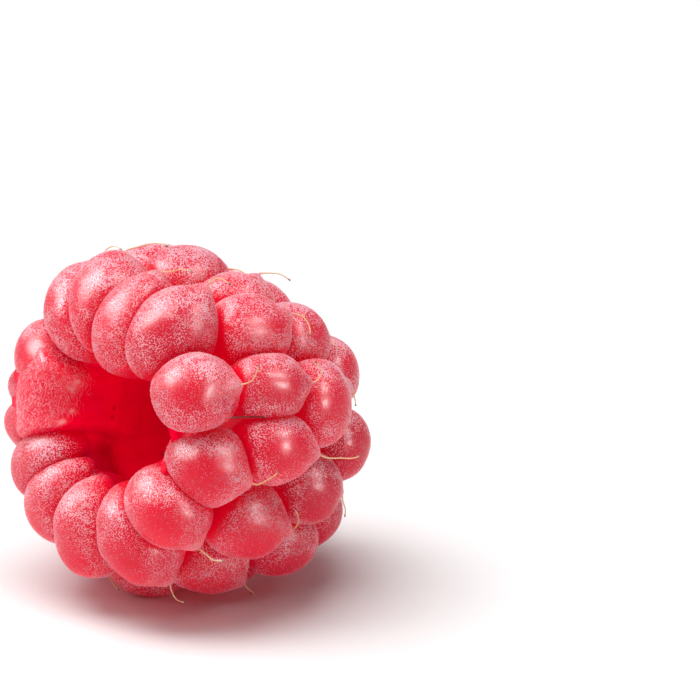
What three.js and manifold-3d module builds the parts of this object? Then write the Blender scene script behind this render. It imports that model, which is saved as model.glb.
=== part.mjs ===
// A ripe raspberry as picked: a single body of drupelets grown together round the hollow that
// its plug left. It lies on its side, mouth towards -X. Millimetres, +Z up, z = 0 is what it
// lies on, and the origin is under the middle of it.
import * as THREE from 'three';
import { mergeVertices } from 'three/addons/utils/BufferGeometryUtils.js';
import Module from 'manifold-3d';

const wasm = await Module();
wasm.setup();

// ---------------------------------------------------------------- driving dimensions
// The berry's own axis runs from its mouth to its nose. A "station" is a distance along that
// axis from the plane that its rim just crosses, a "reach" is a distance from the axis, and a
// "turn" is an angle round it: 0 is the top and 90 the side that faces -Y. mm and degrees.

const MOUTH = { x: -10.25, y: 0, z: 14.15 }; // where station 0 of the axis lies in the frame
const NOSE_DOWN = 14; // the axis drops this much towards the nose, as the berry has rolled

// Five rings of drupelets. half: a drupelet's half sizes round the berry (side), to the nose, to
// the mouth, outwards (out) and inwards (deep). lean: its outward direction leans this far to
// the nose; in the rim it leans to the mouth, so there a drupelet's nose end is its outer end.
// style: where its pointed tip is, as side, along and out. own: what single drupelets, by their
// place in the ring, have that the others don't: a shift of station or reach, or a factor on
// their width (side) or length (along).
const RINGS = [
  {
    station: 3.0, reach: 7.9, lean: -72, style: [0, 0.97, -0.25],
    half: { side: 2.75, nose: 3.5, mouth: 3.7, out: 2.75, deep: 4.4 },
    turns: [-41, -19, 5, 30, 64, 98, 124, 150, 181, 208, 232, 252, 269, 287],
    own: {
      0: { reach: 0.1 },
      2: { reach: -1.2 },
      3: { station: 0.5, side: 1.05 },
      4: { station: 0.5, reach: 0.5, along: 0.8 },
      5: { station: 2.3, reach: 0.3, side: 1.03, along: 0.82 },
      6: { station: 0.9, reach: 0.1, along: 0.86 },
      7: { station: 0.9, reach: 0.3 },
      8: { station: 0.3, reach: -0.1 },
      9: { reach: -0.3 },
      10: { reach: -0.5, side: 0.95 },
      11: { reach: -0.3, side: 0.85 },
      12: { reach: -0.2, side: 0.7 },
      13: { reach: -0.1 },
    },
  },
  {
    station: 8.9, reach: 9.3, lean: -4, style: [0, 0.85, 0.53],
    half: { side: 2.75, nose: 3.0, mouth: 3.7, out: 2.7, deep: 4.0 },
    turns: [-32, -9, 17, 37, 62, 86, 121, 151, 181, 208, 235, 260, 283, 306],
    own: {
      0: { reach: 0.7 },
      1: { station: -0.4 },
      2: { station: 0.8, reach: -0.6 },
      3: { station: -0.2 },
      4: { station: 0.1, side: 0.95, along: 0.95 },
      5: { station: 0.7, side: 0.95, along: 0.95 },
      6: { station: 0.7 },
      7: { station: 1.0, reach: 0.1 },
      8: { reach: 0.6 },
      9: { reach: 1.1 },
    },
  },
  {
    station: 13.7, reach: 8.4, lean: 20, style: [0, 0.85, 0.53],
    half: { side: 2.8, nose: 2.85, mouth: 3.2, out: 2.7, deep: 4.2 },
    turns: [0, 33, 66, 107, 138, 172, 203, 235, 267, 299, 331],
    own: {
      0: { reach: -1.0 },
      1: { station: -0.3, reach: -0.3 },
      2: { station: -0.1, side: 1.15 },
      3: { station: 0.5, reach: -0.2, side: 0.95, along: 0.92 },
      4: { station: 0.8, reach: 0.3 },
      5: { station: 0.2, reach: 0.3 },
      6: { station: 0.2, reach: 0.9 },
    },
  },
  {
    station: 17.5, reach: 5.7, lean: 44, style: [0, 0.85, 0.53],
    half: { side: 2.7, nose: 2.75, mouth: 3.0, out: 2.65, deep: 3.8 },
    turns: [38, 88, 135, 180, 222, 264, 308, 353],
    own: { 1: { station: 0.2, reach: 0.1 }, 2: { station: -0.3, reach: 1.1 } },
  },
  {
    station: 19.6, reach: 2.3, lean: 70, style: [0, 0.85, 0.53],
    half: { side: 2.45, nose: 2.5, mouth: 2.7, out: 2.5, deep: 3.0 },
    turns: [20, 112, 200, 290],
    own: {},
  },
];
const FREE_FROM_TURN = 215; // drupelets past this turn are also shifted by a rule, never evenly
const FREE_SHIFT = { turn: 2.5, station: 0.35, reach: 0.2, size: 0.05 };

const TIP_RISE = 0.14; // the pointed tip that carries the style, as a share of the radius
const TIP_SPREAD = 0.26; // radians
const NEIGHBOUR_DISTANCE = 8.5; // drupelets nearer than this press on each other
const PRESS = 9; // how sharply a pressed face turns into the free, round one
const LAP = 0.24; // each drupelet reaches this far past the face that it shares

// The wall inside the drupelets and the hollow in it, both as station and reach.
const CORE = [[3.4, 8.0], [6.0, 8.8], [9.0, 9.4], [13.5, 8.7], [17.0, 6.3], [19.4, 3.1], [20.2, 0]];
const HOLLOW = [
  [-3.0, 5.4], [0.6, 4.7], [3.0, 4.5], [5.5, 4.9], [8.5, 4.9], [11.5, 4.5], [14.0, 3.6], [15.8, 2.2],
  [16.6, 0],
];
const NET_DETAIL = 2; // how finely a drupelet's net is divided
const ROUND_SIDES = 24;
const GROUND_SIZE = 60; // the block below z = 0 that the berry's flat spots are cut by

const SKIN = { colour: '#c9283f', roughness: 0.45, metalness: 0 };

// ---------------------------------------------------------------- places of the drupelets

const radians = THREE.MathUtils.degToRad;
const TILT = radians(NOSE_DOWN);
const AXIS = new THREE.Vector3(Math.cos(TILT), 0, -Math.sin(TILT));
const TOP = new THREE.Vector3(Math.sin(TILT), 0, Math.cos(TILT)); // turn 0
const FLANK = new THREE.Vector3(0, -1, 0); // turn 90
const MOUTH_MIDDLE = new THREE.Vector3(MOUTH.x, MOUTH.y, MOUTH.z);

// A number from -1 to 1 that looks random but comes out the same each time.
function scatter(count, use) {
  const wave = Math.sin(count * 12.9898 + use * 78.233) * 43758.5453;
  return 2 * (wave - Math.floor(wave)) - 1;
}

function placeDrupelet(ring, place, count) {
  const own = ring.own[place] ?? {};
  const free = ring.turns[place] > FREE_FROM_TURN ? 1 : 0;
  const turn = radians(ring.turns[place] + free * FREE_SHIFT.turn * scatter(count, 1));
  const station = ring.station + (own.station ?? 0) + free * FREE_SHIFT.station * scatter(count, 2);
  const reach = ring.reach + (own.reach ?? 0) + free * FREE_SHIFT.reach * scatter(count, 3);
  const size = 1 + free * FREE_SHIFT.size * scatter(count, 4);
  const lean = radians(ring.lean);
  const spoke = TOP.clone().multiplyScalar(Math.cos(turn)).addScaledVector(FLANK, Math.sin(turn));
  const out = spoke.clone().multiplyScalar(Math.cos(lean)).addScaledVector(AXIS, Math.sin(lean));
  const along = AXIS.clone().multiplyScalar(Math.cos(lean)).addScaledVector(spoke, -Math.sin(lean));
  return {
    centre: MOUTH_MIDDLE.clone().addScaledVector(AXIS, station).addScaledVector(spoke, reach),
    side: along.clone().cross(out),
    along,
    out,
    style: new THREE.Vector3(...ring.style).normalize(),
    half: {
      side: ring.half.side * size * (own.side ?? 1),
      nose: ring.half.nose * size * (own.along ?? 1),
      mouth: ring.half.mouth * size * (own.along ?? 1),
      out: ring.half.out * size,
      deep: ring.half.deep,
    },
  };
}

function placeAll() {
  const drupelets = [];
  for (const ring of RINGS) {
    ring.turns.forEach((_, place) => drupelets.push(placeDrupelet(ring, place, drupelets.length)));
  }
  return drupelets;
}

// ---------------------------------------------------------------- the form of one drupelet

// The radius of its egg shape in a direction of its own (side, along, out).
function eggRadius(half, direction) {
  const length = direction.y > 0 ? half.nose : half.mouth;
  const depth = direction.z > 0 ? half.out : half.deep;
  return 1 / Math.hypot(direction.x / half.side, direction.y / length, direction.z / depth);
}

function freeRadius(drupelet, direction) {
  const fromTip = direction.angleTo(drupelet.style) / TIP_SPREAD;
  return eggRadius(drupelet.half, direction) * (1 + TIP_RISE * Math.exp(-fromTip * fromTip));
}

function ownDirection(drupelet, direction) {
  return new THREE.Vector3(
    direction.dot(drupelet.side),
    direction.dot(drupelet.along),
    direction.dot(drupelet.out),
  );
}

// The faces that a drupelet shares with its neighbours: each a direction and a distance from
// its centre, set between the two by how far each of them would reach to the other.
function sharedFaces(drupelet, drupelets) {
  const faces = [];
  for (const other of drupelets) {
    const gap = other.centre.clone().sub(drupelet.centre);
    const distance = gap.length();
    if (other === drupelet || distance > NEIGHBOUR_DISTANCE) continue;
    const towards = gap.divideScalar(distance);
    const mine = eggRadius(drupelet.half, ownDirection(drupelet, towards));
    const theirs = eggRadius(other.half, ownDirection(other, towards.clone().negate()));
    faces.push({ towards, distance: (distance * mine) / (mine + theirs) + LAP });
  }
  return faces;
}

// The pressed radius: the least of the free radius and of the way to every shared face, with
// the edges between them rounded by a power mean.
function pressedRadius(drupelet, faces, direction) {
  let sum = freeRadius(drupelet, direction) ** -PRESS;
  const heading = new THREE.Vector3()
    .addScaledVector(drupelet.side, direction.x)
    .addScaledVector(drupelet.along, direction.y)
    .addScaledVector(drupelet.out, direction.z);
  for (const face of faces) {
    const slope = heading.dot(face.towards);
    if (slope > 0) sum += (slope / face.distance) ** PRESS;
  }
  return { radius: sum ** (-1 / PRESS), heading };
}

// A round net of directions with one of its corners at the style's tip.
function tipNet(style) {
  const net = new THREE.IcosahedronGeometry(1, NET_DETAIL);
  const corner = new THREE.Vector3().fromBufferAttribute(net.getAttribute('position'), 0);
  net.applyQuaternion(new THREE.Quaternion().setFromUnitVectors(corner.normalize(), style));
  return net;
}

function drupeletGeometry(drupelet, drupelets) {
  const faces = sharedFaces(drupelet, drupelets);
  const geometry = tipNet(drupelet.style);
  const points = geometry.getAttribute('position');
  const direction = new THREE.Vector3();
  for (let i = 0; i < points.count; i += 1) {
    direction.fromBufferAttribute(points, i).normalize();
    const { radius, heading } = pressedRadius(drupelet, faces, direction);
    heading.multiplyScalar(radius).add(drupelet.centre);
    points.setXYZ(i, heading.x, heading.y, heading.z);
  }
  return geometry;
}

// ---------------------------------------------------------------- wall and hollow

// A round body on the berry's axis, closed at both ends, from its profile of stations and reaches.
function roundOnAxis(profile) {
  const [firstStation] = profile[0];
  const outline = [[firstStation, 0], ...profile];
  const corners = outline.map(([station, reach]) => new THREE.Vector2(reach, station));
  const geometry = new THREE.LatheGeometry(corners, ROUND_SIDES);
  geometry.rotateZ(-Math.PI / 2);
  geometry.rotateY(TILT);
  geometry.translate(MOUTH.x, MOUTH.y, MOUTH.z);
  return geometry;
}

// ---------------------------------------------------------------- joining

// A closed solid from a geometry: its corners merged, and the faces that this shrinks to a
// line, such as those at a round body's ends, left out.
function solid(geometry) {
  const bare = geometry.clone();
  bare.deleteAttribute('normal');
  bare.deleteAttribute('uv');
  const merged = mergeVertices(bare);
  const corners = merged.index.array;
  const faces = [];
  for (let i = 0; i < corners.length; i += 3) {
    const [a, b, c] = corners.slice(i, i + 3);
    if (a !== b && b !== c && c !== a) faces.push(a, b, c);
  }
  return new wasm.Manifold(new wasm.Mesh({
    numProp: 3,
    vertProperties: Float32Array.from(merged.getAttribute('position').array),
    triVerts: Uint32Array.from(faces),
  }));
}

// The largest piece of a solid, its outside alone: pockets sealed in by the joining are filled.
function largestPiece(body) {
  const pieces = body.decompose();
  return pieces.reduce((best, piece) => (piece.volume() > best.volume() ? piece : best));
}

function berrySolid() {
  const drupelets = placeAll();
  let body = solid(roundOnAxis(CORE));
  for (const drupelet of drupelets) body = body.add(solid(drupeletGeometry(drupelet, drupelets)));
  const filled = largestPiece(body);
  const below = new THREE.BoxGeometry(GROUND_SIZE, GROUND_SIZE, GROUND_SIZE);
  below.translate(0, 0, -GROUND_SIZE / 2);
  return largestPiece(filled.subtract(solid(roundOnAxis(HOLLOW))).subtract(solid(below)));
}

function geometryOf(body) {
  const mesh = body.getMesh();
  const geometry = new THREE.BufferGeometry();
  geometry.setAttribute('position', new THREE.BufferAttribute(mesh.vertProperties, 3));
  geometry.setIndex(new THREE.BufferAttribute(mesh.triVerts, 1));
  geometry.computeVertexNormals();
  return geometry;
}

// ---------------------------------------------------------------- the model

const skin = new THREE.MeshStandardMaterial({
  color: SKIN.colour,
  roughness: SKIN.roughness,
  metalness: SKIN.metalness,
});
const raspberry = new THREE.Mesh(geometryOf(berrySolid()), skin);
raspberry.name = 'raspberry';

const model = new THREE.Group();
model.add(raspberry);

export default model;
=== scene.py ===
"""A raspberry lying on its side: drupelets pressed together round an open hollow, each with
its style and its down. Lengths in this file are millimetres until a mesh is made."""
import math

import bpy
import numpy as np
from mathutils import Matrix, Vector


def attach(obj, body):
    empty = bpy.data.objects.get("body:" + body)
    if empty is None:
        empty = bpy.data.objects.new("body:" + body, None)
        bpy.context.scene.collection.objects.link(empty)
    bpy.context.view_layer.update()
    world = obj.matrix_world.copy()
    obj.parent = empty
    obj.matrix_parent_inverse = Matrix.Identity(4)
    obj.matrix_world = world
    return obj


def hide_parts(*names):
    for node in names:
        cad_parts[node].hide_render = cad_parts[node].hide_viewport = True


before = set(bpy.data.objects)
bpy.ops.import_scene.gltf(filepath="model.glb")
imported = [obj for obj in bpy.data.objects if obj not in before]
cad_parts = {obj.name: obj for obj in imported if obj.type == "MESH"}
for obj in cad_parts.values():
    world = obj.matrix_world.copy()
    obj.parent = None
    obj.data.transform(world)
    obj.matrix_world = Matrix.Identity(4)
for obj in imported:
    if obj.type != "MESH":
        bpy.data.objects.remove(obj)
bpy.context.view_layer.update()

MM = 0.001  # a millimetre in metres

# ---------------------------------------------------------------- dimensions of the berry

MOUTH = np.array([-10.25, 0.0, 14.15])  # the middle of the mouth, station 0 of the axis
NOSE_DOWN = math.radians(14)
AXIS = np.array([math.cos(NOSE_DOWN), 0.0, -math.sin(NOSE_DOWN)])
TOP = np.array([math.sin(NOSE_DOWN), 0.0, math.cos(NOSE_DOWN)])  # turn 0
FLANK = np.array([0.0, -1.0, 0.0])  # turn 90

# Rings of drupelets from the mouth to the tip. Halves are measured from the middle of a
# drupelet to its side, to its noseward end, outwards, inwards and to its mouthward end. Of
# what single drupelets have of their own, station and reach are added to the ring's, side and
# along multiply the halves that way, and style is the direction of the tip.
RINGS = [
    dict(station=3.0, reach=7.9, lean=-72, style=(0, 0.97, -0.25),
         half=(2.75, 3.5, 2.75, 4.4, 3.7),
         turns=[-41, -19, 5, 30, 64, 98, 124, 150, 181, 208, 232, 252, 269, 287],
         own={0: dict(reach=0.1, style=(0.36, 0.92, -0.12)), 1: dict(style=(-0.18, 0.97, -0.15)),
              2: dict(reach=-1.2, style=(-0.23, 0.97, -0.10)),
              3: dict(station=0.5, side=1.05, style=(-0.25, 0.96, -0.08)),
              4: dict(station=0.5, reach=0.5, along=0.8),
              5: dict(station=2.3, reach=0.3, side=1.03, along=0.82),
              6: dict(station=0.9, reach=0.1, along=0.86, style=(0.12, 0.99, -0.06)),
              7: dict(station=0.9, reach=0.3),
              8: dict(station=0.3, reach=-0.1), 9: dict(reach=-0.3),
              10: dict(reach=-0.5, side=0.95), 11: dict(reach=-0.3, side=0.85),
              12: dict(reach=-0.2, side=0.7), 13: dict(reach=-0.1)}),
    dict(station=8.9, reach=9.3, lean=-4, style=(0, 0.85, 0.53),
         half=(2.75, 3.0, 2.7, 4.0, 3.7),
         turns=[-32, -9, 17, 37, 62, 86, 121, 151, 181, 208, 235, 260, 283, 306],
         own={0: dict(reach=0.7), 1: dict(station=-0.4, style=(0, 0.95, 0.30)),
              2: dict(station=0.8, reach=-0.6, style=(-0.38, 0.62, 0.69)),
              3: dict(station=-0.2, style=(-0.04, 0.76, 0.64)),
              4: dict(station=0.1, side=0.95, along=0.95),
              5: dict(station=0.7, side=0.95, along=0.95, style=(0, 0.73, 0.69)),
              6: dict(station=0.7, style=(-0.21, 0.88, 0.43)),
              7: dict(station=1.0, reach=0.1), 8: dict(reach=0.6), 9: dict(reach=1.1)}),
    dict(station=13.7, reach=8.4, lean=20, style=(0, 0.85, 0.53),
         half=(2.8, 2.85, 2.7, 4.2, 3.2),
         turns=[0, 33, 66, 107, 138, 172, 203, 235, 267, 299, 331],
         own={0: dict(reach=-1.0), 1: dict(station=-0.3, reach=-0.3),
              2: dict(station=-0.1, side=1.15, style=(-0.38, 0.74, 0.55)),
              3: dict(station=0.5, reach=-0.2, side=0.95, along=0.92),
              4: dict(station=0.8, reach=0.3), 5: dict(station=0.2, reach=0.3),
              6: dict(station=0.2, reach=0.9)}),
    dict(station=17.5, reach=5.7, lean=44, style=(0, 0.85, 0.53),
         half=(2.7, 2.75, 2.65, 3.8, 3.0),
         turns=[38, 88, 135, 180, 222, 264, 308, 353],
         own={1: dict(station=0.2, reach=0.1), 2: dict(station=-0.3, reach=1.1)}),
    dict(station=19.6, reach=2.3, lean=70, style=(0, 0.85, 0.53),
         half=(2.45, 2.5, 2.5, 3.0, 2.7), turns=[20, 112, 200, 290], own={}),
]
FREE_FROM_TURN = 215  # drupelets past this turn are also shifted by a rule
FREE_SHIFT = dict(turn=2.5, station=0.35, reach=0.2, size=0.05)
DENT_DEPTH, DENT_WAVES, DENT_COUNT, DENT_SEED = 0.009, 3.0, 5, 3
TIP_RISE = 0.19  # the pointed tip that carries the style, as a share of the radius
TIP_SPREAD = 0.23  # radians
NEIGHBOUR_DISTANCE = 8.5
PRESS = 9  # how sharply a pressed face turns into the free, round one
LAP = 0.12  # each drupelet reaches this far past the face that it shares
SETTLE = 0.16  # how softly a drupelet flattens where it meets the ground

# The wall inside the drupelets and the hollow in it, both as station and reach.
CORE = [(3.4, 7.6), (6.0, 8.6), (9.0, 9.0), (13.5, 8.3), (17.0, 5.9), (19.4, 2.9), (20.0, 0.0)]
HOLLOW = [(3.6, 6.8), (3.8, 5.9), (4.5, 5.1), (5.6, 4.9), (7.0, 4.9), (8.5, 4.85),
          (11.5, 4.4), (14.0, 3.5), (15.8, 2.2), (16.6, 0.0)]


def scatter(count, use):
    """Numbers from -1 to 1 that look random but come out the same each time: twice the
    fractional part of a large multiple of a sine, less one."""
    wave = np.sin(np.asarray(count) * 12.9898 + use * 78.233) * 43758.5453
    return 2 * (wave - np.floor(wave)) - 1


def unit(vectors):
    """Each vector over its own length."""
    return vectors / np.linalg.norm(vectors, axis=-1, keepdims=True)


def place_drupelets():
    """Middles, own axes (side, along, out), halves and style directions of all drupelets.
    A middle is the mouth plus station times the axis plus reach times the spoke at its turn;
    out is the spoke leant towards the tip, and along is the axis leant the same way."""
    middles, axes, halves, styles, rings = [], [], [], [], []
    count = 0
    for number, ring in enumerate(RINGS):
        for place, turn in enumerate(ring["turns"]):
            own = ring["own"].get(place, {})
            free = 1 if turn > FREE_FROM_TURN else 0
            shift = {k: free * v * float(scatter(count, use))
                     for use, (k, v) in enumerate(FREE_SHIFT.items(), 1)}
            angle = math.radians(turn + shift["turn"])
            lean = math.radians(ring["lean"])
            spoke = TOP * math.cos(angle) + FLANK * math.sin(angle)
            out = spoke * math.cos(lean) + AXIS * math.sin(lean)
            along = AXIS * math.cos(lean) - spoke * math.sin(lean)
            station = ring["station"] + own.get("station", 0) + shift["station"]
            reach = ring["reach"] + own.get("reach", 0) + shift["reach"]
            size = 1 + shift["size"]
            side, nose, outer, deep, rear = ring["half"]
            length = size * own.get("along", 1)
            middles.append(MOUTH + AXIS * station + spoke * reach)
            axes.append([np.cross(along, out), along, out])
            halves.append([side * size * own.get("side", 1), nose * length, outer * size,
                           deep, rear * length])
            style = np.array(own.get("style", ring["style"]))
            styles.append(style / np.linalg.norm(style))
            rings.append(number)
            count += 1
    return tuple(np.array(a) for a in (middles, axes, halves, styles, rings))


def egg_radius(halves, direction):
    """One over the length of the direction, each of its parts divided by the half that it
    points along: side, then nose or rear, then outer or deep."""
    length = np.where(direction[..., 1] > 0, halves[..., 1], halves[..., 4])
    depth = np.where(direction[..., 2] > 0, halves[..., 2], halves[..., 3])
    return 1 / np.sqrt((direction[..., 0] / halves[..., 0]) ** 2
                       + (direction[..., 1] / length) ** 2
                       + (direction[..., 2] / depth) ** 2)


def dents(chosen, own):
    """Slight hollows and swellings of each drupelet, about 1: the mean of a few sines, each of
    a seeded slant of the direction and a seeded start."""
    draw = np.random.default_rng(DENT_SEED)
    slants = draw.normal(0, DENT_WAVES, (len(middles), DENT_COUNT, 3))[chosen]
    starts = draw.uniform(0, 2 * math.pi, (len(middles), 1, DENT_COUNT))[chosen]
    return 1 + DENT_DEPTH * np.sin(np.einsum("uk,nwk->nuw", own, slants) + starts).sum(-1)


def shared_faces(n):
    """The directions from drupelet n to those near it, and how far off in each lies the face
    that the two share: the distance times the drupelet's own egg radius over the sum of both
    egg radii, plus the lap."""
    gap = middles - middles[n]
    distance = np.linalg.norm(gap, axis=1)
    near = np.nonzero((distance > 0) & (distance < NEIGHBOUR_DISTANCE))[0]
    towards = gap[near] / distance[near, None]
    mine = egg_radius(halves[n][None], towards @ axes[n].T)
    theirs = egg_radius(halves[near], np.einsum("jl,jkl->jk", -towards, axes[near]))
    return towards, distance[near] * mine / (mine + theirs) + LAP


def pressed_drupelets(chosen, rows, columns):
    """Points of the chosen drupelets on a grid of rows and columns, and how hard each point
    is pressed. Row and column are two angles about the drupelet's side axis. The radius is
    the power mean of the free radius, an egg with a pointed bump at the style, and of the
    way to every face shared with a neighbour; the press is free radius over radius."""
    polar, round_ = np.meshgrid(np.linspace(0, math.pi, rows + 1),
                                np.linspace(0, 2 * math.pi, columns, endpoint=False),
                                indexing="ij")
    own = np.stack([np.cos(polar), np.sin(polar) * np.sin(round_),
                    np.sin(polar) * np.cos(round_)], -1).reshape(-1, 3)
    free = egg_radius(halves[chosen, None], own[None]) * dents(chosen, own)
    from_tip = np.arccos(np.clip(styles[chosen] @ own.T, -1, 1))
    free = free * (1 + TIP_RISE * np.exp(-(from_tip / TIP_SPREAD) ** 2))
    heading = np.einsum("uk,nkl->nul", own, axes[chosen])
    total = free ** -PRESS
    for row, n in enumerate(chosen):
        towards, face = shared_faces(n)
        slope = np.clip(heading[row] @ towards.T, 0, None)
        total[row] += ((slope / face) ** PRESS).sum(1)
    radius = total ** (-1 / PRESS)
    points = middles[chosen, None] + heading * radius[..., None]
    shape = (len(chosen), rows + 1, columns)
    return (points.reshape(shape + (3,)), (free / radius).reshape(shape),
            from_tip.reshape(shape), own.reshape(rows + 1, columns, 3))


def settle(points):
    """Sets each height to half the sum of itself and the root of its square plus a small
    square, so that what would lie under the ground is flat on it."""
    points[..., 2] = (points[..., 2] + np.sqrt(points[..., 2] ** 2 + SETTLE ** 2)) / 2
    return points


middles, axes, halves, styles, rings = place_drupelets()

# ---------------------------------------------------------------- making meshes


def add_mesh(name, points, faces, material):
    """A piece of the berry from its points in millimetres and its faces, made smooth."""
    mesh = bpy.data.meshes.new(name)
    mesh.from_pydata((points * MM).tolist(), [], faces)
    mesh.polygons.foreach_set("use_smooth", [True] * len(mesh.polygons))
    mesh.materials.append(material)
    mesh.update()
    piece = bpy.data.objects.new(name, mesh)
    bpy.context.scene.collection.objects.link(piece)
    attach(piece, "root")
    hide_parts("raspberry")
    return piece


def ball_faces(balls, rows, columns):
    """Faces of closed balls laid out as rows less the two poles, then the two poles: four
    corners between neighbouring rows and columns, and three at each pole."""
    inner = (rows - 1) * columns
    i = np.arange(rows - 2)[:, None] * columns
    j = np.arange(columns)[None]
    after = (j + 1) % columns
    quads = np.stack([i + j, i + columns + j, i + columns + after, i + after], -1).reshape(-1, 4)
    first = np.stack([np.full(columns, inner), j[0], after[0]], -1)
    last_row = (rows - 2) * columns
    last = np.stack([np.full(columns, inner + 1), last_row + after[0], last_row + j[0]], -1)
    faces = []
    for ball in range(balls):
        start = ball * (inner + 2)
        for part in (quads, first, last):
            faces += (part + start).tolist()
    return faces


def ball_values(values):
    """A grid's values in the order of ball_faces, each pole as the mean of its row."""
    poles = values[:, [0, -1]].mean(2)
    body = values[:, 1:-1]
    flat = body.reshape((body.shape[0], -1) + body.shape[3:])
    joined = np.concatenate([flat, poles], 1)
    return joined.reshape((-1,) + joined.shape[2:])


def paint(piece, name, values):
    """Gives each point of the piece one number under this name."""
    layer = piece.data.attributes.new(name, "FLOAT", "POINT")
    layer.data.foreach_set("value", np.ascontiguousarray(values, dtype=np.float32))


def smooth_step(low, high, value):
    """0 up to low, 1 from high, and three squares less two cubes of the share between."""
    share = np.clip((value - low) / (high - low), 0, 1)
    return share * share * (3 - 2 * share)


# ---------------------------------------------------------------- materials


def new_material(name):
    """A new material, its node tree and its shader."""
    material = bpy.data.materials.new(name)
    material.use_nodes = True
    return material, material.node_tree, material.node_tree.nodes["Principled BSDF"]


def feed(tree, made, inputs):
    """Gives each of these inputs of a node, named or counted, a constant of its own or the
    output of another node. A colour's alpha is one."""
    for key, value in inputs.items():
        socket = made.inputs[key]
        if isinstance(value, bpy.types.NodeSocket):
            tree.links.new(value, socket)
        else:
            socket.default_value = value + (1.0,) if socket.type == "RGBA" else value


def node(tree, kind, inputs=None, **settings):
    """A new shader node of this kind with these inputs and settings."""
    made = tree.nodes.new("ShaderNode" + kind)
    for key, value in settings.items():
        setattr(made, key, value)
    feed(tree, made, inputs or {})
    return made


def number(tree, operation, first, second):
    """A Math node of two inputs."""
    return node(tree, "Math", {0: first, 1: second}, operation=operation).outputs[0]


def spread(tree, value, low, high, to_low=0.0, to_high=1.0):
    """A smooth Map Range node from low..high to to_low..to_high, held at its ends."""
    return node(tree, "MapRange", {0: value, 1: low, 2: high, 3: to_low, 4: to_high},
                clamp=True, interpolation_type="SMOOTHSTEP").outputs[0]


def blend_colour(tree, share, first, second):
    """A Mix node from the first colour to the second."""
    return node(tree, "Mix", {0: share, 6: first, 7: second}, data_type="RGBA").outputs[2]


def grain(tree, size, detail=2.0, rough=0.5, distortion=0.0):
    """Noise on Object coordinates whose patches are about this many millimetres."""
    place = node(tree, "TexCoord").outputs["Object"]
    return node(tree, "TexNoise", {"Vector": place, "Scale": 1 / (size * MM), "Detail": detail,
                                   "Roughness": rough, "Distortion": distortion}).outputs[0]


def specks(tree, share, stretch, size, radius, edge):
    """Specks, one to each cell of this size in millimetres and stretched upwards this many
    times: 1 falling to 0 as the distance to the cell's point, less the share times the radius,
    goes over the edge. Distance, radius and edge are in cells."""
    place = node(tree, "TexCoord").outputs["Object"]
    drawn = node(tree, "Mapping", {"Vector": place, "Scale": (1, 1, 1 / stretch)}).outputs[0]
    cells = node(tree, "TexVoronoi", {"Vector": drawn, "Scale": 1 / (size * MM)})
    reach = number(tree, "MULTIPLY", share, radius)
    past = number(tree, "SUBTRACT", cells.outputs["Distance"], reach)
    return spread(tree, past, -edge, edge, 1.0, 0.0)


def attribute(tree, name):
    """The number that each point of the piece has under this name."""
    return node(tree, "Attribute", attribute_name=name).outputs["Fac"]


FLANK_RED = (0.70, 0.0, 0.026)
CROWN_RED = (0.52, 0.0, 0.026)
CROWN_SCARLET = (0.80, 0.004, 0.036)
BLOOM_PINK = (0.91, 0.57, 0.65)
TIP_PINK = (0.90, 0.38, 0.42)
HOLLOW_REDS = ((0.70, 0.0, 0.022), (0.82, 0.0, 0.032))  # in patches near the mouth
# painted shade, darker further in the hollow
DEEP_SHADE_RED = (0.60, 0.0, 0.016)
# painted shade on the hollow's low side near the mouth
LOW_SHADE_RED = (0.42, 0.0, 0.012)
# pale pink of painted glints in the hollow
GLINT_PINK = (0.92, 0.42, 0.42)
# painted shade in small pits in the hollow
PIT_SHADE_RED = (0.18, 0.0, 0.004)
STYLE_PINK = (0.85, 0.30, 0.26)
STYLE_GOLD = (0.80, 0.52, 0.24)
STYLE_BROWN = (0.13, 0.035, 0.018)
FLESH_AND_GLOW = {"Emission Color": (0.85, 0.0, 0.03),  # a painted red glow; under the skin red light passes through and spreads most
         "Subsurface Weight": 1.0, "Subsurface Radius": (1.0, 0.10, 0.08)}
SKIN_GLOW = (0.10, 0.18)  # painted glow, from free to pressed skin, lifting the shade in the creases
TIP_SHARE = 0.7
DEEP_SHADE_STATIONS = (5.0, 16.0)
# painted glow in the hollow, less further in as painted shade
HOLLOW_GLOW, GLOW_STATIONS = (0.27, 0.18), (3.5, 12.0)
VELVET_GLOW, VELVET_FROM, LOW_SHADE_GLOW = 0.55, 0.2, 0.3  # what is left of the painted glow there: on the velvet, and in the painted shade of the low side
COVER_GLOSS = 0.9
STYLE_FOOT_ENDS = 0.25  # the way along a style where it is all gold
STYLE_BROWNS = (0.88, 0.97)

PATCH_LIMITS = (0.3, 0.7)  # noise between these is used in full
FROST_PATCHES = dict(size=1.1, detail=3.0)
FROST_LEAST = 0.56  # how much frost is left where the patches are thinnest
FROST_SHOWS = 0.15  # the share up to which even its specks fade in
FINE_SPECKS = dict(size=0.11, radius=0.43, edge=0.09)
COARSE_SPECKS = dict(size=0.17, radius=0.28, edge=0.06)
SPARKLE = dict(size=0.12, detail=1.0)
VELVET_FRAY = dict(size=0.5, detail=4.0, rough=0.7, distortion=0.8)
FRAY = 0.35  # by how much it frays the velvet's edge, either way
FRAY_EDGE = (0.25, 0.85)
HOLLOW_FROST = (0.35, 0.75)  # on the cover and at its inner edge


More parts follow.
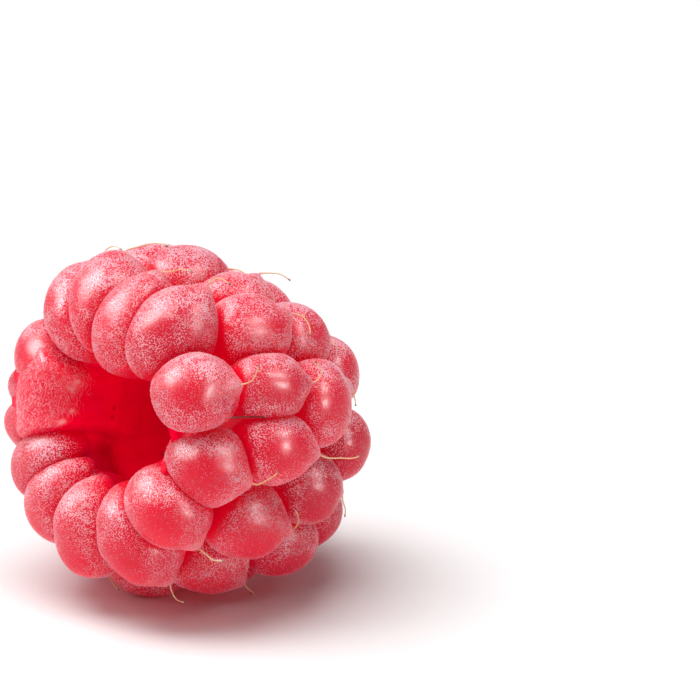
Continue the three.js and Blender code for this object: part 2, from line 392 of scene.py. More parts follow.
def frosted(tree, share, base, stretch=1.0, raised=0.025):
    """The base colour under pale specks of two sizes that grow and close up with the share,
    and a bump in which each speck is raised by so many millimetres."""
    patches = grain(tree, **FROST_PATCHES)
    patches = spread(tree, patches, *PATCH_LIMITS, FROST_LEAST, 1.0)
    frost_and_sheen = number(tree, "MULTIPLY", share, patches)
    fine = specks(tree, frost_and_sheen, stretch, **FINE_SPECKS)
    coarse = specks(tree, frost_and_sheen, stretch, **COARSE_SPECKS)
    both = number(tree, "MAXIMUM", fine, coarse)
    shown = number(tree, "MULTIPLY", both, spread(tree, frost_and_sheen, 0.0, FROST_SHOWS))
    sparkle = number(tree, "MULTIPLY", grain(tree, **SPARKLE), share)
    height = number(tree, "ADD", both, sparkle)
    bump = node(tree, "Bump", {"Strength": 1.0, "Distance": raised * MM, "Height": height})
    return blend_colour(tree, shown, base, BLOOM_PINK), bump.outputs[0]


def skin_material():
    """Wet red flesh under a thin skin: clean and deep where drupelets press together, with pale
    frost on the free skin, made densest at its margins as a painted sheen and on top as painted
    light, pink round the tips, and a painted red glow that is strongest in the creases."""
    material, tree, shader = new_material("drupelet skin")
    tone_and_shade, crown, frost_and_sheen, tip, glow = (
        attribute(tree, name) for name in ("tone_and_shade", "crown", "frost_and_sheen", "tip", "glow"))
    # a tone that differs at random, with painted shade low at the tip end, between the two reds
    toned_and_shaded_red = blend_colour(tree, tone_and_shade, CROWN_RED, CROWN_SCARLET)
    base = blend_colour(tree, crown, FLANK_RED, toned_and_shaded_red)
    dusted, bumps = frosted(tree, frost_and_sheen, base)
    tip = number(tree, "MULTIPLY", tip, TIP_SHARE)
    feed(tree, shader, {
        "Base Color": blend_colour(tree, tip, dusted, TIP_PINK), "Normal": bumps,
        "Roughness": 0.33, "IOR": 1.36, "Subsurface Scale": 2.0 * MM,
        "Sheen Weight": 0.15, "Sheen Roughness": 0.28, "Sheen Tint": (1.0, 0.70, 0.76),
        "Emission Strength": spread(tree, glow, 0.0, 1.0, *SKIN_GLOW), **FLESH_AND_GLOW})
    return material


def hollow_material():
    """Smooth wet flesh, deep red, with painted shade that darkens it further in and on its low
    side near the mouth, where its painted glow also fades, with the skin's frost and gloss on the
    cover over the rim, dark spots of painted shade in the pits where the plug let go, and pale
    spots of painted glint."""
    material, tree, shader = new_material("hollow flesh")
    velvet, station, edge, low_shade, glint, pit = (
        attribute(tree, name) for name in ("velvet", "station", "edge", "low_shade", "glint", "pit"))
    patches = spread(tree, grain(tree, 2.2), *PATCH_LIMITS)
    near = blend_colour(tree, patches, *HOLLOW_REDS)
    # painted shade: the flesh darkens further in
    deep = spread(tree, station, *DEEP_SHADE_STATIONS)
    flesh = blend_colour(tree, deep, near, DEEP_SHADE_RED)
    flesh = blend_colour(tree, low_shade, flesh, LOW_SHADE_RED)
    fray = spread(tree, grain(tree, **VELVET_FRAY), *PATCH_LIMITS, -FRAY, FRAY)
    frayed = spread(tree, number(tree, "ADD", velvet, fray), *FRAY_EDGE)
    red = blend_colour(tree, frayed, flesh, CROWN_SCARLET)
    share = spread(tree, edge, 0.0, 1.0, *HOLLOW_FROST)
    share = number(tree, "MULTIPLY", frayed, share)
    rim, bumps = frosted(tree, share, red, stretch=2.0, raised=0.006)
    glinted = blend_colour(tree, glint, rim, GLINT_PINK)
    glow = spread(tree, station, *GLOW_STATIONS, *HOLLOW_GLOW)
    for where, low, least in ((velvet, VELVET_FROM, VELVET_GLOW), (low_shade, 0.0, LOW_SHADE_GLOW)):
        less = spread(tree, where, low, 1.0, 1.0, least)
        glow = number(tree, "MULTIPLY", glow, less)
    feed(tree, shader, {
        "Base Color": blend_colour(tree, pit, glinted, PIT_SHADE_RED), "Normal": bumps,
        "Roughness": 0.45, "Specular IOR Level": 0.02, "Subsurface Scale": 1.5 * MM,
        "Coat Weight": number(tree, "MULTIPLY", frayed, COVER_GLOSS),
        "Coat Roughness": 0.36, "Coat IOR": 1.36, "Emission Strength": glow, **FLESH_AND_GLOW})
    return material


def style_material():
    """A dry golden thread, pink at its foot and brown at its tip."""
    material, tree, shader = new_material("style")
    way = attribute(tree, "way")
    foot = spread(tree, way, 0.0, STYLE_FOOT_ENDS)
    end = spread(tree, way, *STYLE_BROWNS)
    gold = blend_colour(tree, foot, STYLE_PINK, STYLE_GOLD)
    feed(tree, shader, {
        "Base Color": blend_colour(tree, end, gold, STYLE_BROWN), "Roughness": 0.45,
        "Subsurface Weight": 0.2, "Subsurface Scale": 0.2 * MM})
    return material


def down_material():
    """Pale fine hairs with a faint painted red glow, so that none of them goes grey in shade."""
    material, tree, shader = new_material("down")
    feed(tree, shader, {
        "Base Color": (0.97, 0.68, 0.77), "Roughness": 0.55,
        "Emission Color": (0.9, 0.12, 0.18), "Emission Strength": 0.10})
    return material


SKIN, HOLLOW_FLESH = skin_material(), hollow_material()
STYLE, DOWN = style_material(), down_material()

# ---------------------------------------------------------------- camera, floor and light

CAMERA_AZIMUTH = math.radians(-38)
CAMERA_ELEVATION = math.radians(18)
CAMERA_DISTANCE = 330.0
CAMERA_SENSOR = 36.0
VIEW_PIXELS, PIXELS_PER_MM = 700, 14.8  # the view's width and height, and its scale
VIEW_WIDTH = VIEW_PIXELS / PIXELS_PER_MM  # what the view spans at the berry
RIM_STATION = 3.0
RIM_PIXEL = (112, 417)  # where the middle of the rim shows, from the view's left and top
RIM_RIGHT = (RIM_PIXEL[0] - VIEW_PIXELS / 2) / PIXELS_PER_MM
RIM_UP = (VIEW_PIXELS / 2 - RIM_PIXEL[1]) / PIXELS_PER_MM
BERRY_MIDDLE = np.array([0.0, 0.0, 12.0])

LAMP_DISTANCE = 1000
LAMPS = [  # name, where it hangs as right, up and back, width, height, watts, what it gives
    ("key", (-0.18, 0.92, 0.28), 600, 1100, 12.5, "diffuse"),
    ("key gloss", (-0.70, 0.68, 0.18), 650, 750, 52, "gloss"),
    ("right box", (0.66, 0.60, 0.45), 150, 190, 15, "gloss"),
    ("front box", (0.80, 0.05, 0.60), 140, 190, 13, "gloss"),
    ("fill", (-0.30, 0.60, 0.75), 900, 900, 2, "diffuse"),
]
STUDIO_LIGHT, STUDIO_BACKDROP = 0.11, 0.95
FLOOR_HALF = 1.5  # metres
FLOOR_PALE = (0.86, 0.85, 0.85)


def view_axes(azimuth, elevation):
    """Unit vectors from the berry to the eye, to the right and up."""
    back = np.array([math.sin(azimuth) * math.cos(elevation),
                     -math.cos(azimuth) * math.cos(elevation), math.sin(elevation)])
    right = np.array([math.cos(azimuth), math.sin(azimuth), 0.0])
    return back, right, np.cross(back, right)


BACK, RIGHT, UP = view_axes(CAMERA_AZIMUTH, CAMERA_ELEVATION)
AIM = MOUTH + AXIS * RIM_STATION - RIGHT * RIM_RIGHT - UP * RIM_UP


def add_camera():
    """A camera that sees the middle of the rim where RIM_PIXEL says."""
    data = bpy.data.cameras.new("camera")
    data.sensor_width = CAMERA_SENSOR
    data.lens = CAMERA_SENSOR * CAMERA_DISTANCE / VIEW_WIDTH
    data.clip_start, data.clip_end = 0.01, 10.0
    camera = bpy.data.objects.new("camera", data)
    camera.location = (AIM + BACK * CAMERA_DISTANCE) * MM
    camera.rotation_euler = Vector(BACK).to_track_quat("Z", "Y").to_euler()
    bpy.context.scene.collection.objects.link(camera)
    bpy.context.scene.camera = camera


def add_softbox(name, direction, width, height, power, gives):
    """A rectangular lamp that faces the berry and gives either diffuse light or gloss."""
    data = bpy.data.lights.new(name, "AREA")
    data.shape = "RECTANGLE"
    data.size, data.size_y = width * MM, height * MM
    data.energy = power
    lamp = bpy.data.objects.new(name, data)
    way = RIGHT * direction[0] + UP * direction[1] + BACK * direction[2]
    way = way / np.linalg.norm(way)
    lamp.location = (BERRY_MIDDLE + way * LAMP_DISTANCE) * MM
    lamp.rotation_euler = Vector(way).to_track_quat("Z", "Y").to_euler()
    lamp.visible_diffuse, lamp.visible_glossy = gives == "diffuse", gives == "gloss"
    bpy.context.scene.collection.objects.link(lamp)


def add_floor():
    """A square plain pale floor."""
    mesh = bpy.data.meshes.new("floor")
    corners = [(-1, -1), (1, -1), (1, 1), (-1, 1)]
    mesh.from_pydata([(FLOOR_HALF * x, FLOOR_HALF * y, 0) for x, y in corners],
                     [], [(0, 1, 2, 3)])
    material, tree, shader = new_material("floor")
    feed(tree, shader, {"Base Color": FLOOR_PALE, "Roughness": 0.8})
    mesh.materials.append(material)
    floor = bpy.data.objects.new("floor", mesh)
    bpy.context.scene.collection.objects.link(floor)


def add_studio():
    """Faint even light all round, and a pale backdrop where nothing else is seen."""
    world = bpy.data.worlds.new("studio")
    world.use_nodes = True
    tree = world.node_tree
    seen = node(tree, "LightPath").outputs["Is Camera Ray"]
    strength = spread(tree, seen, 0.0, 1.0, STUDIO_LIGHT, STUDIO_BACKDROP)
    feed(tree, tree.nodes["Background"], {"Color": (1.0, 1.0, 1.0), "Strength": strength})
    bpy.context.scene.world = world


add_camera()
add_floor()
for lamp in LAMPS:
    add_softbox(*lamp)
add_studio()
bpy.context.scene.view_settings.view_transform = "Standard"

# ---------------------------------------------------------------- drupelets

GROUPS = {"rim_drupelets": (0,), "shoulder_drupelets": (1,), "flank_drupelets": (2,),
          "nose_drupelets": (3, 4)}
FINE_ROWS, FINE_COLUMNS = 34, 48
# A pair of limits is where a share begins to change and where it ends.
CROWN_PRESS = (1.01, 1.13)  # how hard pressed, from free to where the bloom ends
CROWN_INWARD = (0.15, 0.75)  # facing inwards by this much
VELVET_STATIONS = (1.2, 3.3)  # the velvet on the rim's inner side
VELVET_REACHES = (5.6, 6.6)  # where that side is outside again
VELVET_SHIFTS = [(302, 20, 0.9), (243, 14, -0.9), (192, 26, 0.9)]  # turn, breadth, deeper by
PAST_HOLLOW = (16.9, 17.6)  # stations between which the outside begins again
GROWN_TOGETHER = dict(first=238, last=306, edge=9)  # turns where the rim's drupelets are one
MERGED_REACHES, MERGED_STATION = (7.4, 8.8), 6  # where they stop being one
# less frost, and more painted glow, where the rim's drupelets are grown together
MERGED_FROST, MERGED_GLOW = 0.5, 0.75
MARGIN_SHEEN, MARGIN_SHEEN_FROM = 0.66, (0.66, 0.98)  # how much less frost the middle of a crown keeps, so that its margins are paler as a painted sheen
MARGIN_SHEEN_AIM = np.array([-0.25, 0.0, 0.12])  # and which way that middle is drawn
TOP_LIGHT_FACING = (0.30, 0.85)  # facing upwards by this much, frost begins to cover it all: painted light from above
TOP_LIGHT_FROST = 0.30  # and how much more of it there is there, as painted light
GLOW_CROWN, GLOW_LEAST = 0.7, 0.1  # painted glow: the crown share with none, and what is left of it off the velvet
TIP_HALO = 0.20
TONE, TONE_VARIES, TONE_DRAW = 0.75, 0.25, 21
NOSE_SHADE, NOSE_SHADE_STATIONS, NOSE_SHADE_HEIGHTS = 0.45, (7, 14), (8, 17)  # painted shade: darker on drupelets low at the tip end


def off_axis(points):
    """The station of points, and the way to each from the axis and square to it."""
    from_mouth = points - MOUTH
    station = from_mouth @ AXIS
    return station, from_mouth - station[..., None] * AXIS


def berry_place(points):
    """Station, reach and turn of points."""
    station, spoke = off_axis(points)
    turn = np.degrees(np.arctan2(spoke @ FLANK, spoke @ TOP)) % 360
    return station, np.linalg.norm(spoke, axis=-1), turn


def velvet_share(points):
    """1 outside and over the rim, falling to 0 down its inner side, by reach and station: near
    some turns a bell of the turn moves the stations. Past the hollow's end it is 1 again."""
    station, reach, turn = berry_place(points)
    past_hollow = smooth_step(*PAST_HOLLOW, station)
    for middle, breadth, deeper in VELVET_SHIFTS:
        station = station - deeper * np.exp(-((turn - middle) / breadth) ** 2)
    inner = smooth_step(*VELVET_STATIONS, station) * (1 - smooth_step(*VELVET_REACHES, reach))
    return 1 - inner * (1 - past_hollow)


def crown_share(points, press, own):
    """1 on a free crown, falling to 0 where the drupelet is pressed or faces the hollow."""
    crown = 1 - smooth_step(*CROWN_PRESS, press)
    inward = smooth_step(*CROWN_INWARD, -own[..., 2])
    return crown * (1 - inward) * velvet_share(points)


def frost_and_sheen_left(points, chosen):
    """What the frost is multiplied by: it is thinned most in the middle of a drupelet's free
    side, which lies halfway between its own outward direction and the spoke, drawn a little
    towards the mouth and up, so that the margins are paler as a painted sheen. Skin that faces
    upwards keeps it all, and some more, as painted light from above."""
    spoke = unit(off_axis(middles[chosen])[1])
    free_side = unit(axes[chosen, 2] + spoke + MARGIN_SHEEN_AIM)
    heading = unit(points - middles[chosen][:, None, None])
    facing = (heading * free_side[:, None, None]).sum(-1)
    top_lit = smooth_step(*TOP_LIGHT_FACING, heading[..., 2])
    bare_middle = MARGIN_SHEEN * smooth_step(*MARGIN_SHEEN_FROM, facing) * (1 - top_lit)
    return (1 - bare_middle) * (1 + TOP_LIGHT_FROST * top_lit)


def grown_share(turn):
    """1 between the two turns where the rim's drupelets are grown together, with a soft edge
    inside them, else 0."""
    first, last, edge = (GROWN_TOGETHER[k] for k in ("first", "last", "edge"))
    return smooth_step(first, first + edge, turn) * (1 - smooth_step(last - edge, last, turn))


def merged_share(points):
    """1 low on the inner side of the drupelets that are grown together, else 0."""
    station, reach, turn = berry_place(points)
    low = (1 - smooth_step(*MERGED_REACHES, reach)) * (station < MERGED_STATION)
    return grown_share(turn) * low


skins = {}
for name, ring in GROUPS.items():
    chosen = np.nonzero(np.isin(rings, ring))[0]
    points, press, from_tip, own = pressed_drupelets(chosen, FINE_ROWS, FINE_COLUMNS)
    crown = crown_share(points, press, own)
    points = settle(points)
    piece = add_mesh(name, ball_values(points),
                     ball_faces(len(chosen), FINE_ROWS, FINE_COLUMNS), SKIN)
    merged = merged_share(points)
    frost_and_sheen = crown * frost_and_sheen_left(points, chosen) * (1 - MERGED_FROST * merged)
    pressed = 1 - smooth_step(0, GLOW_CROWN, crown)
    glow = pressed * (GLOW_LEAST + (1 - GLOW_LEAST) * velvet_share(points))
    station, height = off_axis(middles[chosen])[0], middles[chosen, 2]
    # painted shade on drupelets low at the tip end, taken off the tone that differs at random
    nose_shade = smooth_step(*NOSE_SHADE_STATIONS, station) * (1 - smooth_step(*NOSE_SHADE_HEIGHTS, height))
    tone_and_shade = TONE + TONE_VARIES * scatter(chosen, TONE_DRAW) - NOSE_SHADE * nose_shade
    for share, values in (("crown", crown), ("frost_and_sheen", frost_and_sheen),
                          ("glow", np.maximum(glow, MERGED_GLOW * merged)),
                          ("tip", np.exp(-(from_tip / TIP_HALO) ** 2)),
                          ("tone_and_shade", np.maximum(merged, tone_and_shade[:, None, None]))):
        paint(piece, share, ball_values(values))
    skins[name] = (points, frost_and_sheen * (1 - merged))

# ---------------------------------------------------------------- wall and hollow

CORE_ROWS, HOLLOW_ROWS, WALL_COLUMNS = 30, 130, 240
CORE_SMOOTHING, LINE_SMOOTHING = 3, 12
INNER_LINE = [(1.5, 8.6), (0.75, 7.8), (0.8, 6.6), (1.5, 5.0), (2.6, 4.25), (4.4, 4.3),
              (6.0, 4.8)]
WALL_FRONT = 4.4
SEARCH = np.linspace(-1.6, 2.6, 43)
NEAREST, FARTHEST = -2, 20  # distances from the flesh are held between these
# How wide the grooves between drupelets are filled, and the lengths along the line between
# which the cover comes up: first for most turns, then where drupelets are grown together.
FILLET = (0.22, 0.85)
COVER_RISES = ((5.0, 6.6), (0.8, 3.4))
COVER_DEPTHS = (0.55, -0.04)  # how deep it lies at its outer edge and further in
COVER_EDGE = (2.6, 5.0)  # the lengths between which it stops looking like the skin beside it
WALL_GROOVES = [(1, 0.20, 8.4, 2.2), (2, 0.16, 12.2, 2.0)]  # ring, depth, station and length
GROOVED_FROM = 4  # rows after the core's last one where the grooves begin
HALF_LOBE = 14.0  # degrees from the middle of a lobe to its groove
# where shade is painted into pits, as turn and station
PITS = [(268, 5.6), (256, 5.4), (225, 10.5), (262, 12.0), (200, 9.0), (300, 9.5)]
# where glints are painted, as turn and station
GLINTS = [(296, 2.1), (293, 1.95), (287, 1.75), (249, 1.4), (248, 1.2), (262, 2.0)]
PIT_SIZE, GLINT_SIZE = 0.13, 0.16
VELVET_RISEN = 0.3  # how far risen the cover is where its velvet is full
# where the painted shade low in the hollow near the mouth ends, by height and by station
LOW_SIDE_HEIGHTS, LOW_SIDE_STATIONS = (9.8, 11.6), (4.5, 8.0)


def along_line(corners, rows, smoothing):
    """A line through corners in even steps, with its bends rounded by a repeated average.
    Gives the points and the length up to each."""
    corners = np.array(corners, float)
    way = np.concatenate([[0], np.cumsum(np.linalg.norm(np.diff(corners, axis=0), axis=1))])
    at = np.linspace(0, way[-1], rows)
    line = np.stack([np.interp(at, way, corners[:, k]) for k in (0, 1)], 1)
    for _ in range(smoothing):
        line[1:-1] = (line[:-2] + 2 * line[1:-1] + line[2:]) / 4
    return line, at


def flesh_distance(points, station, reach, fillet):
    """How far points are from the flesh: less the fillet times the logarithm of the sum, over
    the rim's drupelets and the wall, of e to the power of less each distance over the fillet.
    It is the nearest distance, with the grooves filled."""
    total = np.zeros(station.shape)
    for n in np.nonzero(rings == 0)[0]:
        gap = points - middles[n]
        distance = np.linalg.norm(gap, axis=-1)
        own = gap @ axes[n].T / distance[..., None]
        above = np.clip(distance - egg_radius(halves[n], own), NEAREST, FARTHEST)
        total += np.exp(-above / fillet)
    line = np.array(HOLLOW)
    inward = np.interp(station, line[:, 0], line[:, 1]) - reach
    forward = WALL_FRONT - station
    outside = np.hypot(np.clip(inward, 0, None), np.clip(forward, 0, None))
    wall = np.where(outside > 0, outside, np.maximum(inward, forward))
    total += np.exp(-np.clip(wall, NEAREST, FARTHEST) / fillet)
    return -fillet * np.log(total)


def cover_steps(line, square, spoke, depth, fillet):
    """How far each point of the hollow's side lies from the line, square to it: the first of
    even steps past which the flesh's distance falls to the cover's depth, and on from there
    by a straight part of a step."""
    tried = line[:, None] + SEARCH[:, None] * square[:, None]
    station, reach = tried[..., 0][:, None], tried[..., 1][:, None]
    points = MOUTH + station[..., None] * AXIS + reach[..., None] * spoke[None, :, None]
    station = np.broadcast_to(station, points.shape[:-1])
    reach = np.broadcast_to(reach, points.shape[:-1])
    over = flesh_distance(points, station, reach, fillet) + depth[..., None]
    first = np.clip(np.argmax(over < 0, axis=2), 1, None)[..., None]
    before, after = (np.take_along_axis(over, k, 2)[..., 0] for k in (first - 1, first))
    part = before / (before - after)
    return SEARCH[first[..., 0] - 1] + part * (SEARCH[1] - SEARCH[0])


def wall_surface():
    """The wall as one closed surface round the axis: from the tip outside, forwards under the
    drupelets, and back along the hollow to its end. The hollow's side starts from a line that
    follows the rim, and each point moves square to that line, up to the cover. Its reach grows
    by a row of grooves between the lobes of each ring: the depth, times one less a circle's
    height over the turn from the nearest lobe, times a bell of the station. With the points
    come how far the cover is risen and how much it still looks like the skin beside it."""
    turn = np.linspace(0, 360, WALL_COLUMNS, endpoint=False)
    angle = np.radians(turn)
    spoke = TOP * np.cos(angle)[:, None] + FLANK * np.sin(angle)[:, None]
    deeper = [place for place in HOLLOW if place[0] > INNER_LINE[-1][0]]
    line, way = along_line(INNER_LINE + deeper, HOLLOW_ROWS, LINE_SMOOTHING)
    run = unit(np.gradient(line, axis=0))
    square = np.stack([-run[:, 1], run[:, 0]], 1)
    share = grown_share(turn)
    fillet = (FILLET[0] * (1 - share) + FILLET[1] * share)[None, :, None]
    risen = [smooth_step(*ends, way)[:, None] for ends in COVER_RISES]
    risen = risen[0] * (1 - share) + risen[1] * share
    depth = COVER_DEPTHS[0] * (1 - risen) + COVER_DEPTHS[1] * risen
    step = cover_steps(line, square, spoke, depth, fillet)
    inner = line[:, None] + step[..., None] * square[:, None]
    core = along_line(CORE[::-1], CORE_ROWS, CORE_SMOOTHING)[0]
    outer = core[:, None] * np.ones((1, WALL_COLUMNS, 1))
    station, reach = np.moveaxis(np.concatenate([outer, inner]), -1, 0)
    inside = (np.arange(CORE_ROWS + HOLLOW_ROWS) >= CORE_ROWS + GROOVED_FROM)[:, None]
    for ring, depth, middle, length in WALL_GROOVES:
        lobes = np.array(RINGS[ring]["turns"], float)
        apart = np.abs((turn[:, None] - lobes[None] + 180) % 360 - 180).min(1)
        groove = 1 - np.sqrt(np.clip(1 - (apart / HALF_LOBE) ** 2, 0, 1))
        bell = np.exp(-((station - middle) / length) ** 2)
        reach = reach + inside * depth * groove[None] * bell
    points = MOUTH + station[..., None] * AXIS + reach[..., None] * spoke[None]
    hidden = np.zeros((CORE_ROWS, WALL_COLUMNS))
    edge = (1 - smooth_step(*COVER_EDGE, way))[:, None] * share
    return (points, turn, station, reach, np.concatenate([hidden, risen]),
            np.concatenate([hidden, edge]))


wall_points, wall_turn, wall_station, wall_reach, wall_risen, wall_edge = wall_surface()


def spots(places, size):
    """How near each point of the wall is to the nearest of some places given as turn and
    station: a bell of the distance over the size."""
    near = np.zeros_like(wall_station)
    for turn, station in places:
        apart = np.radians((wall_turn - turn + 180) % 360 - 180)[None] * wall_reach
        near = np.maximum(near, np.exp(-(apart ** 2 + (wall_station - station) ** 2) / size ** 2))
    return near


wall_velvet = velvet_share(wall_points)
wall_points = settle(wall_points)
wall = add_mesh("hollow_wall", ball_values(wall_points[None]),
                ball_faces(1, CORE_ROWS + HOLLOW_ROWS - 1, WALL_COLUMNS), HOLLOW_FLESH)
# painted shade low in the hollow near the mouth
low_shade = ((1 - smooth_step(*LOW_SIDE_HEIGHTS, wall_points[..., 2]))
            * (1 - smooth_step(*LOW_SIDE_STATIONS, wall_station)))
for share, values in (("pit", spots(PITS, PIT_SIZE)), ("glint", spots(GLINTS, GLINT_SIZE)),
                      ("velvet", wall_velvet * smooth_step(0, VELVET_RISEN, wall_risen)),
                      ("low_shade", low_shade), ("edge", wall_edge), ("station", wall_station)):
    paint(wall, share, ball_values(values[None]))

# ---------------------------------------------------------------- styles

# Each style leaves its drupelet's tip. Its heading is measured from noseward towards the
# drupelet's side axis and its rise from the berry's surface, both in degrees; over its length
# it turns by bend, more towards its end, and by fall.
STYLES_SEEN = {  # (ring, place): (heading, bend, rise, fall, length)
    (0, 0): (75, 62, 38, -70, 3.3),
    (0, 1): (62, 42, -5, -30, 3.8),
    (0, 2): (62, 20, 15, -15, 4.3),
    (0, 3): (8, 80, 20, -40, 2.4),
    (0, 4): (5, -80, 15, -10, 2.5),
    (0, 5): (-18, -58, 20, -20, 3.1),
    (0, 6): (-15, -32, 15, -15, 2.7),
    (0, 8): (-60, -15, 20, -20, 2.0),
    (1, 1): (50, 50, 15, -85, 3.2),
    (1, 2): (0, 40, 18, -40, 2.6),
    (1, 3): (22, 115, 12, -30, 2.5),
    (1, 4): (-20, -140, 15, -10, 2.1),
    (1, 5): (14, -40, 10, -10, 3.5),
    (1, 6): (-87, -80, 10, -10, 2.7),
    (2, 1): (45, 10, 15, -20, 1.2),
    (2, 2): (75, 15, 10, -10, 1.6),
    (2, 3): (50, 10, 12, -10, 2.6),
    (3, 1): (80, -60, 10, -10, 1.5),
}
# For the others each of the five numbers is a middle and how far it varies from it.
STYLES_HIDDEN = [(0, 55), (0, 80), (30, 12), (-45, 25), (2.6, 0.8)]
STYLE_DRAW = 11
STYLE_BENDING = 1.4  # the power of the way along that its bend follows
STYLE_WAVE, STYLE_WAVES = 10, 9  # degrees, and radians of a sine over the length
STYLE_STEPS, STYLE_SIDES = 36, 7
STYLE_HALF_WIDTH = 0.055
STYLE_FOOT = (1.3, 14)  # how much wider the foot is, and how fast that falls away
STYLE_TAPER = 0.35
STIGMA = (0.95, 0.05, 0.7)  # where along the style, how long, and how much wider
TIP_SUNK = 0.12  # how deep a style begins in its drupelet
STYLE_GAP = 0.04  # between a style and the skin that it lies on
PUSHES, PUSH_LONGEST, PUSH_PART = 3, 0.9, 0.7  # how often and how far it is pushed out
PUSH_GROWS = (6, 8, 0.5)  # with the way along: any push, and one out of its own drupelet
STYLE_ON_GROUND = 0.11  # the height of a middle line that lies on the ground
LOOSE_STYLE = np.array([(-4.1, -8.8, 15.05), (-1.94, -10.12, 14.97)])  # a dead one, fallen
LOOSE_ARC = 0.05
LOOSE_TONE = 0.965  # the way along a style where its brown is the same


def style_numbers():
    """The five numbers of every style: those seen, and for the others each middle plus its
    scattered part."""
    count = np.arange(len(middles))
    numbers = np.stack([middle + varies * scatter(count, use)
                        for use, (middle, varies) in enumerate(STYLES_HIDDEN, STYLE_DRAW)], 1)
    for (ring, place), given in STYLES_SEEN.items():
        numbers[np.nonzero(rings == ring)[0][place]] = given
    return numbers


def style_paths():
    """Middle lines of the styles. The heading turns by the bend times a power of the way along
    and by a slight wave, the rise by the fall times the way, and the points are the running
    sum of the directions that they give. Points that would lie inside a drupelet are pushed
    out along its own radius, though less near the style's foot, those below the ground are
    raised to it, and the line is then evened."""
    heading, bend, rise, fall, length = style_numbers().T[:, :, None]
    way = np.linspace(0, 1, STYLE_STEPS)[None]
    waves = STYLE_WAVE * np.sin(way * STYLE_WAVES + heading)
    turned = np.radians(heading + bend * way ** STYLE_BENDING + waves)
    risen = np.radians(rise + fall * way)
    own = np.stack([np.cos(risen) * np.sin(turned), np.cos(risen) * np.cos(turned),
                    np.sin(risen)], -1)
    step = np.einsum("nsk,nkl->nsl", own, axes) * (length / STYLE_STEPS)[..., None]
    tips = np.array([pressed_point(n, styles[n]) for n in range(len(middles))])
    path = tips[:, None] + np.cumsum(step, 1) - step[:, :1]
    clearance = STYLE_HALF_WIDTH + STYLE_GAP
    past_foot = np.clip(way * PUSH_GROWS[0], 0, 1)
    past_own = np.clip(way[0] * PUSH_GROWS[1] - PUSH_GROWS[2], 0, 1)
    for _ in range(PUSHES):
        for n in range(len(middles)):
            gap = path - middles[n]
            distance = np.linalg.norm(gap, axis=-1)
            inside = egg_radius(halves[n], np.einsum("nsl,kl->nsk", gap, axes[n])
                                / distance[..., None])
            push = np.clip(inside + clearance - distance, 0, PUSH_LONGEST)
            push[n] *= past_own
            push *= past_foot
            path = path + gap * (push / distance)[..., None] * PUSH_PART
        path[..., 2] = np.maximum(path[..., 2], STYLE_ON_GROUND)
        path[:, 1:-1] = (path[:, :-2] + 2 * path[:, 1:-1] + path[:, 2:]) / 4
    return path


def pressed_point(n, direction):
    """A point just inside a drupelet's pressed surface, in one of its own directions."""
    free = float(egg_radius(halves[n], direction)) * (1 + TIP_RISE)
    heading = axes[n].T @ direction
    towards, face = shared_faces(n)
    total = free ** -PRESS + ((np.clip(towards @ heading, 0, None) / face) ** PRESS).sum()
    return middles[n] + heading * (total ** (-1 / PRESS) - TIP_SUNK)


ACROSS = np.array([0.31, 0.53, 0.79])  # no style runs this way


def tube(path, half_width):
    """Points round paths: two directions square to the run at each step, times the cosine and
    sine of the way round and the half width there."""
    run = unit(np.gradient(path, axis=1))
    first = unit(np.cross(run, ACROSS))
    second = np.cross(run, first)
    round_ = np.linspace(0, 2 * math.pi, STYLE_SIDES, endpoint=False)[:, None]
    ring = first[:, :, None] * np.cos(round_) + second[:, :, None] * np.sin(round_)
    return path[:, :, None] + ring * half_width[None, :, None, None]


style_way = np.linspace(0, 1, STYLE_STEPS)
style_foot = STYLE_FOOT[0] * np.exp(-style_way * STYLE_FOOT[1])
style_width = STYLE_HALF_WIDTH * (1 + style_foot - STYLE_TAPER * style_way)
style_width *= 1 + STIGMA[2] * np.exp(-((style_way - STIGMA[0]) / STIGMA[1]) ** 2)
style_width[0], style_width[-1] = 0.0, 0.0
fallen = LOOSE_STYLE[0] + style_way[:, None] * (LOOSE_STYLE[1] - LOOSE_STYLE[0])
fallen[:, 2] += LOOSE_ARC * np.sin(math.pi * style_way)
paths = np.concatenate([style_paths(), fallen[None]])
ways = np.tile(style_way, (len(paths), 1))
ways[-1] = LOOSE_TONE
threads = add_mesh("styles", ball_values(tube(paths, style_width)),
                   ball_faces(len(paths), STYLE_STEPS - 1, STYLE_SIDES), STYLE)
paint(threads, "way", ball_values(np.repeat(ways[:, :, None], STYLE_SIDES, axis=2)))

# ---------------------------------------------------------------- down

DOWN_COUNTS = {"rim_drupelets": 19500, "shoulder_drupelets": 17500,
               "flank_drupelets": 15000, "nose_drupelets": 9500}
DOWN_ON_RIM = 1500
EDGE_BARE = 0.5  # how much of it the cover's edge lacks
# A spike leans by so many degrees from upright, and by so many more past its elbow.
SKIN_DOWN = dict(half_width=0.017, length=(0.18, 0.40), lean=(20, 65), bend=(10, 60), comb=0)
RIM_DOWN = dict(half_width=0.005, length=(0.28, 0.60), lean=(72, 86), bend=(2, 12),
                comb=np.array([-0.8, 0.0, -1.6]))
DOWN_FROM_GROUND = 0.25  # none grows lower than this
FOOT_SUNK = 0.03
ELBOW_WIDTH = 0.8  # as a share of the foot's


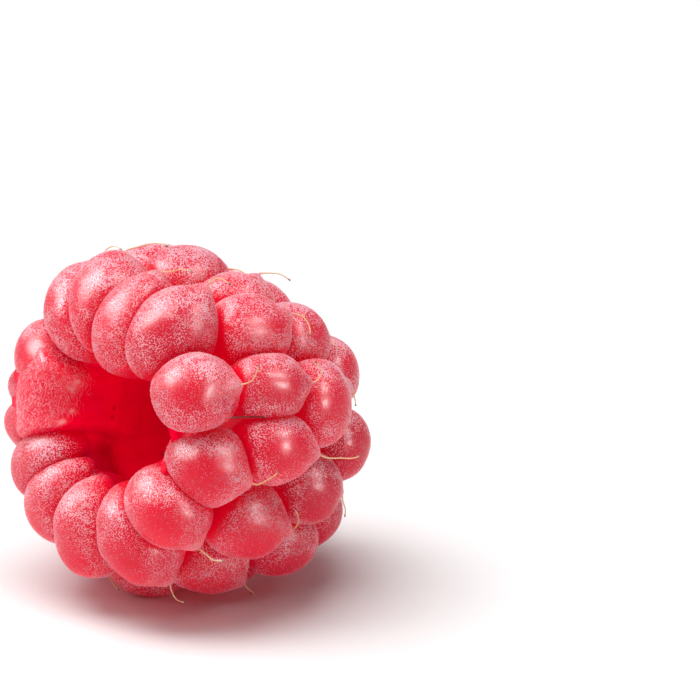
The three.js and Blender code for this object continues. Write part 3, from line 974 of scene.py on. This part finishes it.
def down_points(points, cover, count, seed, half_width, length, lean, bend, comb):
    """Thin three-sided spikes with closed feet, set on the skin in proportion to area and
    to the cover there. A spike's elbow is its foot plus half its length along the skin's
    outward direction leant to a side, and its tip is as far again, leant more. The side is
    a random direction plus the comb, laid along the skin."""
    draw = np.random.default_rng(seed)
    a, b = points[:, :-1], points[:, 1:]
    a2, b2 = np.roll(a, -1, 2), np.roll(b, -1, 2)
    corners = np.stack([a, b, b2, a2], -2).reshape(-1, 4, 3)
    share = ((cover[:, :-1] + cover[:, 1:]) / 2).reshape(-1)
    across = np.cross(corners[:, 2] - corners[:, 0], corners[:, 3] - corners[:, 1])
    area = np.linalg.norm(across, axis=1)
    weight = area * share * (corners[:, :, 2].mean(1) > DOWN_FROM_GROUND)
    sums = np.cumsum(weight)
    face = np.searchsorted(sums, draw.random(count) * sums[-1])
    u, v = draw.random((2, count, 1))
    c = corners[face]
    foot = (c[:, 0] * (1 - u) * (1 - v) + c[:, 1] * u * (1 - v) + c[:, 2] * u * v
            + c[:, 3] * (1 - u) * v)
    upright = across[face] / area[face, None]
    side = draw.normal(size=(count, 3)) + comb
    side = unit(side - (side * upright).sum(1)[:, None] * upright)
    lean = np.radians(draw.uniform(*lean, count))[:, None]
    more = lean + np.radians(draw.uniform(*bend, count))[:, None]
    way = upright * np.cos(lean) + side * np.sin(lean)
    onward = upright * np.cos(more) + side * np.sin(more)
    half = draw.uniform(*length, (count, 1)) / 2
    first = np.cross(upright, side)
    second = np.cross(way, first)
    foot = foot - way * FOOT_SUNK
    elbow = foot + way * half
    turns = np.radians([0, 120, 240])
    ring = [half_width * (first * math.cos(t) + second * math.sin(t)) for t in turns]
    feet, elbows = [foot + r for r in ring], [elbow + ELBOW_WIDTH * r for r in ring]
    return np.stack(feet + elbows + [elbow + onward * half], 1).reshape(-1, 3)


def spike_faces(spikes):
    """Three sides up to the elbow, three from there to the tip and a foot, for each spike of
    seven points."""
    lower = np.array([(0, 1, 4, 3), (1, 2, 5, 4), (2, 0, 3, 5)])
    upper = np.array([(3, 4, 6), (4, 5, 6), (5, 3, 6), (2, 1, 0)])
    start = 7 * np.arange(spikes)[:, None, None]
    return ((lower[None] + start).reshape(-1, 4).tolist()
            + (upper[None] + start).reshape(-1, 3).tolist())


def add_down(name, points, cover, count, seed, spikes):
    """A piece of this many spikes on a grid of points, thickest where the cover is."""
    points = down_points(points, cover, count, seed, **spikes)
    add_mesh(name, points, spike_faces(count), DOWN)


for seed, (name, (points, cover)) in enumerate(skins.items()):
    add_down(name.replace("drupelets", "down"), points, cover, DOWN_COUNTS[name], seed, SKIN_DOWN)
inner_cover = wall_velvet ** 2 * wall_risen * (1 - EDGE_BARE * wall_edge)
add_down("inner_down", wall_points[None], inner_cover[None], DOWN_ON_RIM, len(skins), RIM_DOWN)
